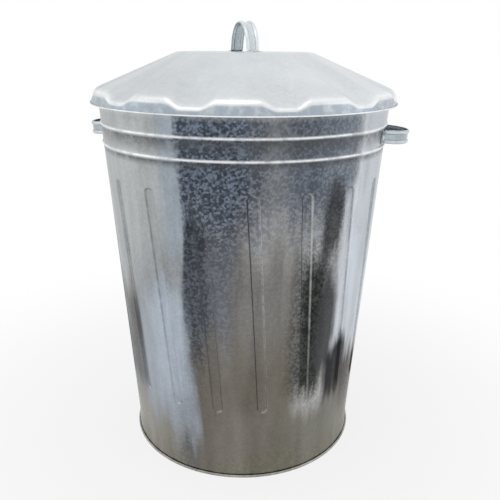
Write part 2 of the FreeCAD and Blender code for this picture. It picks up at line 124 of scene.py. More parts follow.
WALL_SHEET = 0.7
FOOT_RADIUS = 194.5
TAPER = 0.0668
FLARE_RADIUS = 197.3
FLARE_FOOT = 1.3
FLARE_STRAIGHT = 8.0
FLARE_TOP = 30.0
FLARE_BULGE = 0.35
RIM_HEIGHT = 601.0
CURL_FOOT = 580.0
CURL_RADIUS = 2.1
CURL_END = -120.0
BEAD_HEIGHTS = (528.5, 559.0)
BEAD_REACH = 4.5
BEAD_RISE = 1.9
BEAD_ROUNDNESS = 0.8
BEAD_STEPS = 10
RIB_COUNT = 18
RIB_TOP = 483.0
RIB_BOTTOM = 124.0
RIB_HALF = 9.0
RIB_DEPTH = 3.0
RIB_EDGE = 3.4
RIB_SPREAD = 0.6
RIB_FIRST = 16.9
RIB_LEAN = 5.75
RIBBED_BOTTOM = 40.0
RIBBED_TOP = 508.5

# columns of the sheet beside a rib's middle, and rows of the plain wall and of a rib's rounded end
RIB_MARKS = (0, 3.2, 5.0, 6.0, 6.8, 7.5, 8.2, 8.9, 9.6, 10.3, 11.2, 15.0)
FLARE_ROWS = (12, 16, 20, 24, 28)
LOW_ROWS = [60.0, 90.0, 110.0]
MIDDLE_ROWS = [160.0, 220.0, 280.0, 340.0, 400.0, 450.0]
HIGH_ROWS = [500.0, 515.0]
END_ROWS = 16
END_ROW_STEP = 1.1
END_MARGIN = 3.0


def body_radius(height):
    return FOOT_RADIUS + TAPER * height


def wall_outline():
    """Section of the wall in mm, as points of (radius, height) from its foot to the end of the curl."""
    points = [Vector((FLARE_RADIUS, FLARE_FOOT)), Vector((FLARE_RADIUS, FLARE_STRAIGHT))]
    for height in FLARE_ROWS:
        ease = (height - FLARE_STRAIGHT) / (FLARE_TOP - FLARE_STRAIGHT)
        bulge = FLARE_BULGE * ease * (1 - ease)
        points.append(Vector((FLARE_RADIUS + (body_radius(FLARE_TOP) - FLARE_RADIUS) * ease + bulge, height)))
    heights = [FLARE_TOP] + LOW_ROWS
    heights += [RIB_BOTTOM - END_MARGIN + END_ROW_STEP * step for step in range(END_ROWS)]
    heights += MIDDLE_ROWS
    heights += [RIB_TOP + END_MARGIN - END_ROW_STEP * step for step in reversed(range(END_ROWS))]
    heights += HIGH_ROWS
    points += [Vector((body_radius(height), height)) for height in heights]
    for middle in BEAD_HEIGHTS:
        for step in range(-BEAD_STEPS, BEAD_STEPS + 1):
            share = step / BEAD_STEPS
            height = middle + share * BEAD_REACH
            rise = BEAD_RISE * (0.5 + 0.5 * math.cos(math.pi * share)) ** BEAD_ROUNDNESS
            points.append(Vector((body_radius(height) + rise, height)))
    centre_height = RIM_HEIGHT - CURL_RADIUS - WALL_SHEET
    tilt = math.degrees(math.atan(TAPER))
    centre = (body_radius(centre_height) + CURL_RADIUS * math.hypot(1, TAPER), centre_height)
    points.append(Vector((body_radius(CURL_FOOT), CURL_FOOT)))
    points += arc_line(centre, CURL_RADIUS, 180 - tilt, CURL_END - tilt, 22)
    return points


def rib_press(across, along):
    """Depth in mm that a rib takes at a place across and along it from its middle."""
    straight = (RIB_TOP - RIB_BOTTOM) / 2 - RIB_HALF
    inside = RIB_HALF - math.hypot(across, max(abs(along) - straight, 0.0))
    share = min(max((inside + RIB_SPREAD) / RIB_EDGE, 0.0), 1.0)
    return RIB_DEPTH * share * share * (3 - 2 * share)


# marks on the body: strengths of painted shade, painted highlight and rubbing, and where round the bin and
# how high they lie
RIB_SHADE = 0.95
FAINT_RIB_SHADE = 0.15
RIB_HIGHLIGHT = 0.42
LIGHT_SIDE_ANGLE = 42
MARKED_ANGLE = 16
MARKED_HEIGHT = 180
MARKED_RISE = 160
LOW_MARKS = 0.45
BACK_MARKS = 0.15
BEAD_HIGHLIGHT_RISE = 0.4
BEAD_HIGHLIGHT_HALF = 2.6
BEAD_SHADE = 0.9
BEAD_SHADE_DROP = 4.4
BEAD_SHADE_HALF = 2.2
RIM_RUB = 0.5
RIM_RUB_DEPTH = 6


def press_ribs(bm):
    """Draws the columns of the turned sheet together at the rib edges, leans them and presses the ribs.

    It also marks painted light: a highlight on one edge of each rib and shade on the other, a highlight along
    each bead crest (partly rubbing) and shade under each bead, and rubbing on the rim.
    """
    wear_and_highlight = bm.verts.layers.float.new("wear_and_highlight")
    painted_shade = bm.verts.layers.float.new("painted_shade")
    half = 180.0 / RIB_COUNT
    middle = (RIB_TOP + RIB_BOTTOM) / 2
    columns = 2 * len(RIB_MARKS)
    for vert in bm.verts:
        height = vert.co.z / MM
        radius = math.hypot(vert.co.x, vert.co.y) / MM
        column = round(math.degrees(math.atan2(vert.co.y, vert.co.x)) * columns * RIB_COUNT / 360)
        rib, place = divmod(column, columns)
        place -= len(RIB_MARKS)
        if abs(place) < len(RIB_MARKS):
            across = math.copysign(RIB_MARKS[abs(place)], place)
            offset = math.degrees(across / body_radius(middle))
        else:
            offset = math.copysign(half, place)
            across = math.radians(offset) * radius
        lean = RIB_LEAN * (height - middle) / (RIB_TOP - RIB_BOTTOM)
        degrees = RIB_FIRST + rib * 2 * half + offset - lean
        turn = math.radians(degrees)
        on_wall = RIBBED_BOTTOM < height < RIBBED_TOP
        depth = rib_press(across, height - middle) if on_wall else 0.0
        share = depth / RIB_DEPTH
        edge = 4 * share * (1 - share)
        # from this angle half way round the bin, the edge painted with a highlight and the edge painted with
        # shade change sides
        changed = math.sin(math.radians(degrees - LIGHT_SIDE_ANGLE)) > 0 and on_wall
        shaded_side = (across < 0) != changed
        # painted light: the rib marks are strongest on the side of the bin facing MARKED_ANGLE and weaker
        # towards the back and the foot
        risen = min(max((height - MARKED_HEIGHT) / MARKED_RISE, 0.0), 1.0)
        fading = LOW_MARKS + (1 - LOW_MARKS) * risen
        faced = max(0.0, math.cos(math.radians(degrees - MARKED_ANGLE))) ** 2
        facing = BACK_MARKS + (1 - BACK_MARKS) * faced
        marked = edge * fading * facing
        vert[painted_shade] = marked * (RIB_SHADE if shaded_side else FAINT_RIB_SHADE)
        vert[wear_and_highlight] = 0.0 if shaded_side else marked * RIB_HIGHLIGHT
        crest = 1.0 if radius > body_radius(height) else 0.0
        # painted highlight along each bead crest, partly rubbing, and painted shade in a line under each bead
        for bead in BEAD_HEIGHTS:
            vert[wear_and_highlight] += crest * max(0.0, 1 - abs(height - bead - BEAD_HIGHLIGHT_RISE) / BEAD_HIGHLIGHT_HALF)
            vert[painted_shade] += BEAD_SHADE * max(0.0, 1 - abs(height - bead + BEAD_SHADE_DROP) / BEAD_SHADE_HALF)
        if height > RIM_HEIGHT - RIM_RUB_DEPTH:
            vert[wear_and_highlight] = RIM_RUB
        radius -= depth
        vert.co = Vector((radius * math.sin(turn), -radius * math.cos(turn), height)) * MM


def place_node(tree, kind, inputs=None, **settings):
    """A node with its settings, and its inputs as plain values or as outputs of other nodes."""
    made = tree.nodes.new("ShaderNode" + kind)
    for setting, value in settings.items():
        setattr(made, setting, value)
    for socket, value in (inputs or {}).items():
        if isinstance(value, bpy.types.NodeSocket):
            tree.links.new(value, made.inputs[socket])
        else:
            made.inputs[socket].default_value = value
    return made


def group_tree(name, inputs, outputs):
    """An empty shader group with named sockets, its input node's outputs and its output node."""
    tree = bpy.data.node_groups.new(name, "ShaderNodeTree")
    for socket, (kind, value) in inputs.items():
        made = tree.interface.new_socket(socket, in_out="INPUT", socket_type="NodeSocket" + kind)
        made.default_value = value
    for socket, kind in outputs.items():
        tree.interface.new_socket(socket, in_out="OUTPUT", socket_type="NodeSocket" + kind)
    return tree, tree.nodes.new("NodeGroupInput").outputs, tree.nodes.new("NodeGroupOutput")


def maths(tree, operation, first, second=0.0, clamp=False):
    """Output of a sum on one or two values."""
    return place_node(tree, "Math", {0: first, 1: second}, operation=operation, use_clamp=clamp).outputs[0]


def blended(tree, mode, share, under, over):
    """Colour output of two colours blended in a mode."""
    made = place_node(tree, "Mix", data_type="RGBA", blend_type=mode, clamp_result=False)
    for index, value in ((0, share), (6, under), (7, over)):
        if isinstance(value, bpy.types.NodeSocket):
            tree.links.new(value, made.inputs[index])
        else:
            made.inputs[index].default_value = value
    return made.outputs[2]


def ramped(tree, value, low, high, to_low=0.0, to_high=1.0, smooth=True):
    """Value taken from one range to another."""
    sockets = {"Value": value, "From Min": low, "From Max": high, "To Min": to_low, "To Max": to_high}
    kind = "SMOOTHSTEP" if smooth else "LINEAR"
    return place_node(tree, "MapRange", sockets, interpolation_type=kind).outputs[0]


def noise(tree, scale, detail=3.0, stretch=1.0):
    """Noise on the object's own coordinates, drawn out upwards by stretch."""
    spot = place_node(tree, "TexCoord").outputs["Object"]
    drawn = place_node(tree, "Mapping", {"Vector": spot, "Scale": (1, 1, 1 / stretch)}).outputs[0]
    sockets = {"Vector": drawn, "Scale": scale, "Detail": detail, "Roughness": 0.6}
    return place_node(tree, "TexNoise", sockets).outputs["Fac"]


# zinc skin: hot-dip spangle, drawn-out run marks, cloudy patina, and painted shade and painted highlights
# (partly rubbing) where the mesh marks them
GRAIN_SCALE = 420.0
RUN_SCALE = 46.0
RUN_STRETCH = 14.0
CLOUD_SCALE = 9.0
CLOUD_STRETCH = 1.6
DARKEST_TONE = 0.12

skin, given, result = group_tree("zinc skin", {
    "Colour": ("Color", (0.5, 0.5, 0.5, 1)), "Spangle": ("Float", 0.1), "Cells": ("Float", 330.0),
    "Streaks": ("Float", 0.1), "Clouds": ("Float", 0.12), "Grime": ("Color", (0.07, 0.075, 0.08, 1)),
    "Bright": ("Color", (0.95, 0.96, 0.97, 1)), "Roughness": ("Float", 0.35),
}, {"Colour": "Color", "Roughness": "Float", "Relief": "Float"})
spot = place_node(skin, "TexCoord").outputs["Object"]
cells = place_node(skin, "TexVoronoi", {"Vector": spot, "Scale": given["Cells"], "Randomness": 1.0},
                   feature="SMOOTH_F1", distance="EUCLIDEAN")
cell = place_node(skin, "SeparateColor", {0: cells.outputs["Color"]}).outputs[0]
grain = noise(skin, GRAIN_SCALE, 2.0)
fleck = maths(skin, "ADD", maths(skin, "MULTIPLY", cell, 0.62), maths(skin, "MULTIPLY", grain, 0.38))
fleck = ramped(skin, fleck, 0.28, 0.72, -1.0, 1.0)
run = ramped(skin, noise(skin, RUN_SCALE, 4.0, RUN_STRETCH), 0.3, 0.7, -1.0, 1.0)
cloud = ramped(skin, noise(skin, CLOUD_SCALE, 4.0, CLOUD_STRETCH), 0.3, 0.7, -1.0, 1.0)
tone = maths(skin, "ADD", maths(skin, "MULTIPLY", fleck, given["Spangle"]), 1.0)
tone = maths(skin, "ADD", tone, maths(skin, "MULTIPLY", run, given["Streaks"]))
tone = maths(skin, "ADD", tone, maths(skin, "MULTIPLY", cloud, given["Clouds"]))
tone = maths(skin, "MAXIMUM", tone, DARKEST_TONE)
toned = place_node(skin, "VectorMath", {0: given["Colour"], "Scale": tone}, operation="SCALE").outputs[0]
# painted shade: the colour is darkened towards the shade colour where the mesh marks painted shade
painted_shade_share = place_node(skin, "Attribute", attribute_name="painted_shade").outputs["Fac"]
shade_breaks = ramped(skin, noise(skin, 90.0, 3.0), 0.25, 0.6, 0.35, 0.95)
painted_shade_share = maths(skin, "MULTIPLY", painted_shade_share, shade_breaks, clamp=True)
# painted highlight: the colour is lightened towards the bright colour where the mesh marks highlights and
# rubbing
highlight_and_wear_share = place_node(skin, "Attribute", attribute_name="wear_and_highlight").outputs["Fac"]
highlight_breaks = ramped(skin, noise(skin, 60.0, 3.0), 0.25, 0.6, 0.45, 1.0)
highlight_and_wear_share = maths(skin, "MULTIPLY", highlight_and_wear_share, highlight_breaks, clamp=True)
coloured = blended(skin, "MIX", painted_shade_share, toned, given["Grime"])
coloured = blended(skin, "MIX", highlight_and_wear_share, coloured, given["Bright"])
rough = maths(skin, "ADD", given["Roughness"], maths(skin, "MULTIPLY", fleck, 0.05))
rough = maths(skin, "ADD", rough, maths(skin, "MULTIPLY", cloud, 0.05))
rough = maths(skin, "SUBTRACT", rough, maths(skin, "MULTIPLY", highlight_and_wear_share, 0.1), clamp=True)
relief = maths(skin, "ADD", maths(skin, "MULTIPLY", fleck, 0.25), maths(skin, "MULTIPLY", cloud, 1.0))
skin.links.new(coloured, result.inputs["Colour"])
skin.links.new(rough, result.inputs["Roughness"])
skin.links.new(relief, result.inputs["Relief"])

# a patch mask on the sheet between two angles round the bin and two heights, each with its fade; the body's
# patina and its painted reflections are laid on with it
patch_mask, given, result = group_tree("patch_mask", {
    "Angle": ("Float", 0.0), "Height": ("Float", 0.0), "Left": ("Float", 0.0), "Right": ("Float", 0.0),
    "Left fade": ("Float", 5.0), "Right fade": ("Float", 5.0), "Bottom": ("Float", 0.0),
    "Top": ("Float", 0.0), "Bottom fade": ("Float", 50.0), "Top fade": ("Float", 50.0),
    "Strength": ("Float", 1.0),
}, {"Mask": "Float"})
mask = given["Strength"]
for value, limit, fade, sign in (("Angle", "Left", "Left fade", 1), ("Angle", "Right", "Right fade", -1),
                                 ("Height", "Bottom", "Bottom fade", 1), ("Height", "Top", "Top fade", -1)):
    reach = maths(patch_mask, "MULTIPLY", given[fade], 0.5 * sign)
    low = maths(patch_mask, "SUBTRACT", given[limit], reach)
    high = maths(patch_mask, "ADD", given[limit], reach)
    mask = maths(patch_mask, "MULTIPLY", mask, ramped(patch_mask, given[value], low, high))
patch_mask.links.new(mask, result.inputs["Mask"])

ZINC_METALLIC = 0.85
ZINC_BUMP = 0.002


def zinc(name, colour, roughness, relief=0.12, **settings):
    """A zinc finish: a metal shader with a zinc skin, whose node in the material is named skin."""
    material = bpy.data.materials.new(name)
    material.use_nodes = True
    tree = material.node_tree
    shader = tree.nodes["Principled BSDF"]
    shader.inputs["Metallic"].default_value = ZINC_METALLIC
    coat = place_node(tree, "Group", node_tree=skin, name="skin")
    coat.inputs["Colour"].default_value = (*colour, 1)
    coat.inputs["Roughness"].default_value = roughness
    for socket, value in settings.items():
        coat.inputs[socket].default_value = value
    tree.links.new(coat.outputs["Colour"], shader.inputs["Base Color"])
    tree.links.new(coat.outputs["Roughness"], shader.inputs["Roughness"])
    sockets = {"Strength": relief, "Distance": ZINC_BUMP, "Height": coat.outputs["Relief"]}
    tree.links.new(place_node(tree, "Bump", sockets).outputs[0], shader.inputs["Normal"])
    return material


# partly patina of the body sheet and partly painted reflections, as pale and dark upright bands, patch over
# patch: angles in degrees to the right from the front, heights in mm
PATCH_SOCKETS = ("Left", "Right", "Left fade", "Right fade", "Bottom", "Top", "Bottom fade", "Top fade",
                 "Strength")
BODY_PATINA_AND_REFLECTIONS = (
    # left, right, left fade, right fade, bottom, top, bottom fade, top fade, strength, spangle, colour
    (-64, -15, 6, 8, 290, 620, 90, 20, 0.88, 0.06, (0.405, 0.43, 0.435)),
    (-40, -18, 14, 8, 290, 380, 60, 70, 0.5, 0.10, (0.28, 0.30, 0.33)),
    (-20, -12, 7, 3, 380, 620, 110, 10, 0.8, 0.06, (0.35, 0.40, 0.46)),
    (-13, 16, 2, 12, 410, 620, 150, 10, 0.97, 0.6, (0.105, 0.13, 0.172)),
    (-13, -2, 2, 9, 170, 440, 140, 40, 0.9, 0.45, (0.060, 0.072, 0.092)),
    (-3, 12, 5, 6, 230, 430, 80, 90, 0.75, 0.25, (0.105, 0.117, 0.142)),
    (14, 56, 10, 8, 430, 620, 110, 10, 0.88, 0.36, (0.088, 0.108, 0.142)),
    (40, 56, 12, 6, 470, 620, 60, 10, 0.6, 0.15, (0.22, 0.25, 0.29)),
    (18, 25, 5, 8, 430, 590, 60, 30, 0.5, 0.12, (0.25, 0.25, 0.255)),
    (9, 33, 6, 6, 130, 400, 80, 120, 0.85, 0.09, (0.160, 0.153, 0.145)),
    (20, 31, 5, 4, 170, 400, 80, 110, 0.6, 0.06, (0.235, 0.227, 0.215)),
    (-14, 34, 10, 6, -40, 240, 10, 150, 0.85, 0.05, (0.158, 0.140, 0.112)),
    (33, 46, 12, 6, 150, 395, 60, 70, 0.95, 0.55, (0.015, 0.019, 0.015)),
    (42, 51, 4, 4, 370, 490, 60, 40, 0.9, 0.30, (0.038, 0.040, 0.043)),
    (43, 55, 4, 5, 180, 345, 50, 60, 0.93, 0.12, (0.045, 0.047, 0.049)),
    (-60, -38, 6, 12, 120, 300, 60, 90, 0.93, 0.08, (0.055, 0.053, 0.053)),
    (-42, -11, 12, 5, 60, 300, 60, 90, 0.92, 0.05, (0.37, 0.41, 0.46)),
    (-34, -14, 8, 4, 150, 325, 80, 60, 0.8, 0.06, (0.44, 0.50, 0.57)),
    (58, 110, 5, 20, 185, 620, 70, 20, 0.95, 0.04, (0.52, 0.56, 0.61)),
    (53, 61, 4, 5, 230, 490, 70, 40, 0.85, 0.03, (0.62, 0.66, 0.72)),
    (51, 67, 5, 8, 100, 215, 40, 40, 1.0, 0.10, (0.008, 0.008, 0.013)),
    (62, 112, 8, 10, 75, 178, 50, 50, 0.97, 0.05, (0.020, 0.013, 0.010)),
    (28, 110, 10, 14, -40, 110, 10, 60, 0.88, 0.06, (0.165, 0.158, 0.128)),
    (-78, -22, 10, 16, -40, 90, 10, 70, 0.85, 0.05, (0.27, 0.255, 0.21)),
    (-80, 112, 10, 10, -40, 30, 10, 36, 0.5, 0.14, (0.19, 0.18, 0.135)),
    (112, 122, 4, 10, 170, 620, 120, 10, 0.85, 0.45, (0.08, 0.09, 0.115)),
    (126, 150, 8, 8, 230, 620, 90, 20, 0.8, 0.05, (0.52, 0.53, 0.53)),
    (128, 160, 10, 6, 60, 240, 60, 90, 0.8, 0.05, (0.18, 0.16, 0.13)),
    (156, 172, 5, 12, 300, 620, 120, 10, 0.75, 0.4, (0.10, 0.11, 0.14)),
    (-176, -160, 6, 4, 120, 420, 90, 90, 0.85, 0.3, (0.05, 0.055, 0.05)),
    (-158, -132, 4, 14, 200, 560, 80, 80, 0.85, 0.05, (0.60, 0.62, 0.66)),
    (-134, -118, 10, 3, 260, 620, 120, 10, 0.85, 0.5, (0.075, 0.085, 0.11)),
    (-120, -98, 3, 10, 110, 470, 70, 110, 0.8, 0.05, (0.50, 0.54, 0.59)),
    (-98, -82, 8, 8, 380, 620, 120, 10, 0.7, 0.3, (0.12, 0.13, 0.155)),
)
PATCH_WANDER = 5.0
PATCH_CLIMB = 38.0
PLAIN_SPANGLE = 0.12

body_zinc = zinc("body zinc", (0.3, 0.3, 0.3), 0.34, Streaks=0.1, Clouds=0.12)
tree = body_zinc.node_tree
spot = place_node(tree, "TexCoord").outputs["Object"]
axes = place_node(tree, "SeparateXYZ", {0: spot}).outputs
turn = maths(tree, "ARCTAN2", axes[0], maths(tree, "MULTIPLY", axes[1], -1.0))
wander = ramped(tree, noise(tree, 13.0, 4.0, 5.0), 0.2, 0.8, -PATCH_WANDER, PATCH_WANDER, smooth=False)
angle = maths(tree, "ADD", maths(tree, "MULTIPLY", turn, 180 / math.pi), wander)
climb = ramped(tree, noise(tree, 42.0, 3.0, 9.0), 0.2, 0.8, -PATCH_CLIMB, PATCH_CLIMB, smooth=False)
height = maths(tree, "ADD", maths(tree, "MULTIPLY", axes[2], 1 / MM), climb)
sweep = ramped(tree, noise(tree, 5.0, 3.0, 5.0), 0.34, 0.66)
here = blended(tree, "MIX", sweep, (0.13, 0.14, 0.16, 1), (0.50, 0.51, 0.52, 1))
haze = ramped(tree, noise(tree, 7.0, 3.0, 2.0), 0.35, 0.7)
here = blended(tree, "MIX", maths(tree, "MULTIPLY", haze, 0.4), here, (0.27, 0.24, 0.2, 1))
spangle = PLAIN_SPANGLE
for *limits, patch_spangle, colour in BODY_PATINA_AND_REFLECTIONS:
    sockets = {"Angle": angle, "Height": height, **dict(zip(PATCH_SOCKETS, limits))}
    mask = place_node(tree, "Group", sockets, node_tree=patch_mask).outputs[0]
    here = blended(tree, "MIX", mask, here, (*colour, 1))
    spangle = ramped(tree, mask, 0.0, 1.0, spangle, patch_spangle, smooth=False)
tree.links.new(here, tree.nodes["skin"].inputs["Colour"])
tree.links.new(spangle, tree.nodes["skin"].inputs["Spangle"])

bm = spun(wall_outline(), 2 * len(RIB_MARKS) * RIB_COUNT)
press_ribs(bm)
facing_out(bm)
settled("rolled_body", bm, "bin", "body_wall", body_zinc, WALL_SHEET)


# Lock seam: the folded joint of the rolled sheet, a flat strip down the back that follows the
# beads and stops under the rim.

SEAM_ANGLE = 187.0
SEAM_TURN = 2.3
SEAM_RISE = 1.2
SEAM_FOOT = 34
SEAM_TOP = 586
SEAM_EDGE = 0.35

seam_line = [point for point in wall_outline() if SEAM_FOOT < point.y < SEAM_TOP]
bm = spun([Vector((point.x + SEAM_RISE, point.y)) for point in seam_line], 6, math.radians(SEAM_TURN))
bmesh.ops.rotate(bm, verts=bm.verts[:], cent=(0, 0, 0),
                 matrix=Matrix.Rotation(math.radians(SEAM_ANGLE - 90 - SEAM_TURN / 2), 3, "Z"))
facing_out(bm)
seam = settled("lock_seam", bm, "bin", None, body_zinc, SEAM_RISE + WALL_SHEET / 2, edge=SEAM_EDGE)
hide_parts("body_wall")


# Rim wire: a hard drawn wire inside the curl of the rim. It shows only where the curl ends.

wire_zinc = zinc("wire zinc", (0.4, 0.4, 0.4), 0.4, Spangle=0.1, Streaks=0.0)
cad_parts["rim_wire"].data.materials.clear()
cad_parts["rim_wire"].data.materials.append(wire_zinc)


# Base pan: a dished pressing inside the foot of the body, whose flange runs down and is hemmed
# round the lower edge of the body sheet.

BASE_SHEET = 0.8
DISH_RADIUS = 140
DISH_HEIGHT = 26
TROUGH_RADIUS = 150
TROUGH_HEIGHT = 22
PAN_ROUNDINGS = (10, 10, 5)
PAN_GAP = 0.1
HEM_HOLLOW = 1.6
HEM_FLAT = 1.0
HEM_START = 190
HEM_SOLE = 270
HEM_END = 442

base_zinc = zinc("base zinc", (0.36, 0.355, 0.33), 0.42, Spangle=0.16, Clouds=0.2)
flange_top = body_radius(TROUGH_HEIGHT) - WALL_SHEET - PAN_GAP
flange_foot = FLARE_RADIUS - WALL_SHEET / 2 - HEM_HOLLOW - HEM_FLAT / 2
hem_height = HEM_HOLLOW + BASE_SHEET
pan = rounded_line([(0, DISH_HEIGHT), (DISH_RADIUS, DISH_HEIGHT), (TROUGH_RADIUS, TROUGH_HEIGHT),
                    (flange_top, TROUGH_HEIGHT), (flange_foot, hem_height)], PAN_ROUNDINGS, 6)
pan += arc_line((flange_foot + HEM_HOLLOW, hem_height), HEM_HOLLOW, HEM_START, HEM_SOLE, 8)
pan += arc_line((flange_foot + HEM_HOLLOW + HEM_FLAT, hem_height), HEM_HOLLOW, HEM_SOLE, HEM_END, 16)
bm = spun(pan, 192)
facing_out(bm, Vector((0, 0, 0.012)))
settled("base_pan_hemmed", bm, "bin", "base_pan", base_zinc, BASE_SHEET)


# Side handles: a strap with a half-round ridge pressed along each edge, bent to an arch. Its
# flattened round-ended feet lie on the wall and are riveted through it.

STRAP_SHEET = 1.2
STRAP_EDGE = 0.25
STRAP_HALF = 9.5
FOOT_HALF = 10.0
FOOT_LENGTH = 22.0
FOOT_TAPER_START = 14.0
FOOT_TAPER = 8.0
TIP_HALF = 0.2
RIDGE_WIDTH = 4.4
RIDGE_RISE = 1.8
RIDGE_LEAD = 4.0
RIDGE_FADE = 12.0
RIDGE_HIGHLIGHT = 0.7
ROOT_SHADE = 0.6
ROOT_WIDTH = 0.8
BEND_RADIUS = 5.0
LEG_ANGLE = 78.0
SEAT_GAP = 0.1
FOOT_STEPS = 16
BEND_STEPS = 10
LEG_STEPS = 6
ARCH_STEPS = 12
HALF_MARKS = [0, 2, 4, 5.1, 5.3, 5.7, 6.3, 7.0, 7.7, 8.3, 8.8, 9.2, STRAP_HALF]
ACROSS_MARKS = [-mark for mark in HALF_MARKS[:0:-1]] + HALF_MARKS


def strap_line(rivet_offset, seat_height, tilt, inner_height):
    """Half of the strap's centre line in mm, from the foot's tip to the crown: (spot, turn, travel)."""
    leg = math.radians(LEG_ANGLE)
    inward = Vector((math.cos(tilt), math.sin(tilt)))
    tip = Vector((-rivet_offset, seat_height)) - inward * (FOOT_LENGTH / 2)
    end = Vector((-rivet_offset, seat_height)) + inward * (FOOT_LENGTH / 2)
    run = -end.x - BEND_RADIUS * (math.sin(leg) - math.sin(tilt))
    rise = inner_height - end.y - BEND_RADIUS * (math.cos(tilt) - math.cos(leg))
    spread = math.sin(leg) ** 2 - math.cos(leg) * (1 - math.cos(leg))
    arch = (run * math.sin(leg) - rise * math.cos(leg)) / spread
    leg_length = (run - arch * math.sin(leg)) / math.cos(leg)
    stations = []
    for step in range(FOOT_STEPS + 1):
        travel = FOOT_LENGTH * (1 - math.cos(math.pi / 2 * step / FOOT_STEPS))
        stations.append((tip + inward * travel, tilt, travel))
    centre = end + Vector((-math.sin(tilt), math.cos(tilt))) * BEND_RADIUS
    for step in range(1, BEND_STEPS + 1):
        turn = tilt + (leg - tilt) * step / BEND_STEPS
        spot = centre + Vector((math.sin(turn), -math.cos(turn))) * BEND_RADIUS
        stations.append((spot, turn, FOOT_LENGTH + BEND_RADIUS * (turn - tilt)))
    foot = stations[-1][0]
    travel = stations[-1][2]
    for step in range(1, LEG_STEPS + 1):
        climb = leg_length * step / LEG_STEPS
        stations.append((foot + Vector((math.cos(leg), math.sin(leg))) * climb, leg, travel + climb))
    start = stations[-1][0]
    travel = stations[-1][2]
    centre = start + Vector((math.sin(leg), -math.cos(leg))) * arch
    for step in range(1, ARCH_STEPS + 1):
        turn = leg * (1 - step / ARCH_STEPS)
        spot = centre + Vector((-math.sin(turn), math.cos(turn))) * arch
        stations.append((spot, turn, travel + arch * (leg - turn)))
    return stations


def ridge(across, fade):
    """Rise in mm of the pressed ridges at a place across the strap."""
    off = abs(abs(across) - (STRAP_HALF - RIDGE_WIDTH / 2)) / (RIDGE_WIDTH / 2)
    return RIDGE_RISE * fade * math.sqrt(max(1 - off * off, 0.0)) if off < 1 else 0.0


def strap(stations, place):
    """The strap as a sheet in metres: a grid laid along the stations and placed by a matrix."""
    line = stations + [(Vector((-spot.x, spot.y)), -turn, 2 * stations[-1][2] - travel)
                       for spot, turn, travel in stations[-2::-1]]
    length = line[-1][2]
    columns = len(ACROSS_MARKS) - 1
    rows = len(line) - 1
    bm = bmesh.new()
    bmesh.ops.create_grid(bm, x_segments=columns, y_segments=rows, size=1)
    wear_and_highlight = bm.verts.layers.float.new("wear_and_highlight")
    painted_shade = bm.verts.layers.float.new("painted_shade")
    for vert in bm.verts:
        mark = ACROSS_MARKS[round((vert.co.x + 1) / 2 * columns)]
        spot, turn, travel = line[round((vert.co.y + 1) / 2 * rows)]
        near = min(travel, length - travel)
        half = FOOT_HALF - (FOOT_HALF - STRAP_HALF) * min(max((near - FOOT_TAPER_START) / FOOT_TAPER, 0), 1)
        if near < FOOT_HALF:
            half = math.sqrt(max(FOOT_HALF ** 2 - (FOOT_HALF - near) ** 2, TIP_HALF ** 2))
        fade = min(max((near - FOOT_LENGTH + RIDGE_LEAD) / RIDGE_FADE, 0), 1)
        fade = fade * fade * (3 - 2 * fade)
        lift = ridge(mark, fade)
        # painted highlight on the ridge crests and painted shade in the creases at their roots
        vert[wear_and_highlight] = RIDGE_HIGHLIGHT * max(lift / RIDGE_RISE - 0.5, 0)
        root = abs(abs(mark) - STRAP_HALF + RIDGE_WIDTH)
        vert[painted_shade] = ROOT_SHADE * fade * max(1 - root / ROOT_WIDTH, 0)
        x = spot.x - lift * math.sin(turn)
        z = spot.y + lift * math.cos(turn)
        vert.co = Vector((x, mark / STRAP_HALF * half, z)) * MM
    bmesh.ops.transform(bm, matrix=place, verts=bm.verts[:])
    return bm


def cone_place(degrees, height):
    """Matrix from a side handle's own axes to the body cone at an angle from the front and a height."""
    turn = math.radians(degrees)
    radial = Vector((math.sin(turn), -math.cos(turn), 0))
    across = Vector((math.cos(turn), math.sin(turn), 0))
    upward = (radial * TAPER + Vector((0, 0, 1))).normalized()
    outward = across.cross(upward)
    origin = (radial * body_radius(height) + Vector((0, 0, height))) * MM
    return Matrix.Translation(origin) @ Matrix((across, upward, outward)).transposed().to_4x4()


TAIL_RADIUS = 4.0
TAIL_RISE = 1.2
TAIL_CHAMFER = 0.4
SHANK_RADIUS = 2.2
HEAD_RADIUS = 4.8
HEAD_EDGE = 0.2
DOME_RISE = 2.0


def rivets(seats, sheet):
    """Domed rivets, each at a matrix whose Z points out of the sheet that it holds."""
    tail_seat = -sheet - SEAT_GAP
    head_seat = STRAP_SHEET + 1.5 * SEAT_GAP
    corners = [(0, tail_seat - TAIL_RISE), (TAIL_RADIUS - TAIL_CHAMFER, tail_seat - TAIL_RISE),
               (TAIL_RADIUS, tail_seat - TAIL_RISE + TAIL_CHAMFER), (TAIL_RADIUS, tail_seat),
               (SHANK_RADIUS, tail_seat), (SHANK_RADIUS, head_seat), (HEAD_RADIUS - HEAD_EDGE, head_seat),
               (HEAD_RADIUS, head_seat + HEAD_EDGE)]
    dome = (HEAD_RADIUS ** 2 + DOME_RISE ** 2) / (2 * DOME_RISE)
    centre = (0, head_seat + HEAD_EDGE + DOME_RISE - dome)
    start = 90 - math.degrees(math.asin(HEAD_RADIUS / dome))
    outline = [Vector(corner) for corner in corners] + arc_line(centre, dome, start, 90, 8)[1:]
    whole = bmesh.new()
    for seat in seats:
        bm = spun(outline, 32)
        bmesh.ops.recalc_face_normals(bm, faces=bm.faces[:])
        bmesh.ops.transform(bm, matrix=seat, verts=bm.verts[:])
        one = bpy.data.meshes.new("rivet")
        bm.to_mesh(one)
        whole.from_mesh(one)
        bm.free()
        bpy.data.meshes.remove(one)
    return whole
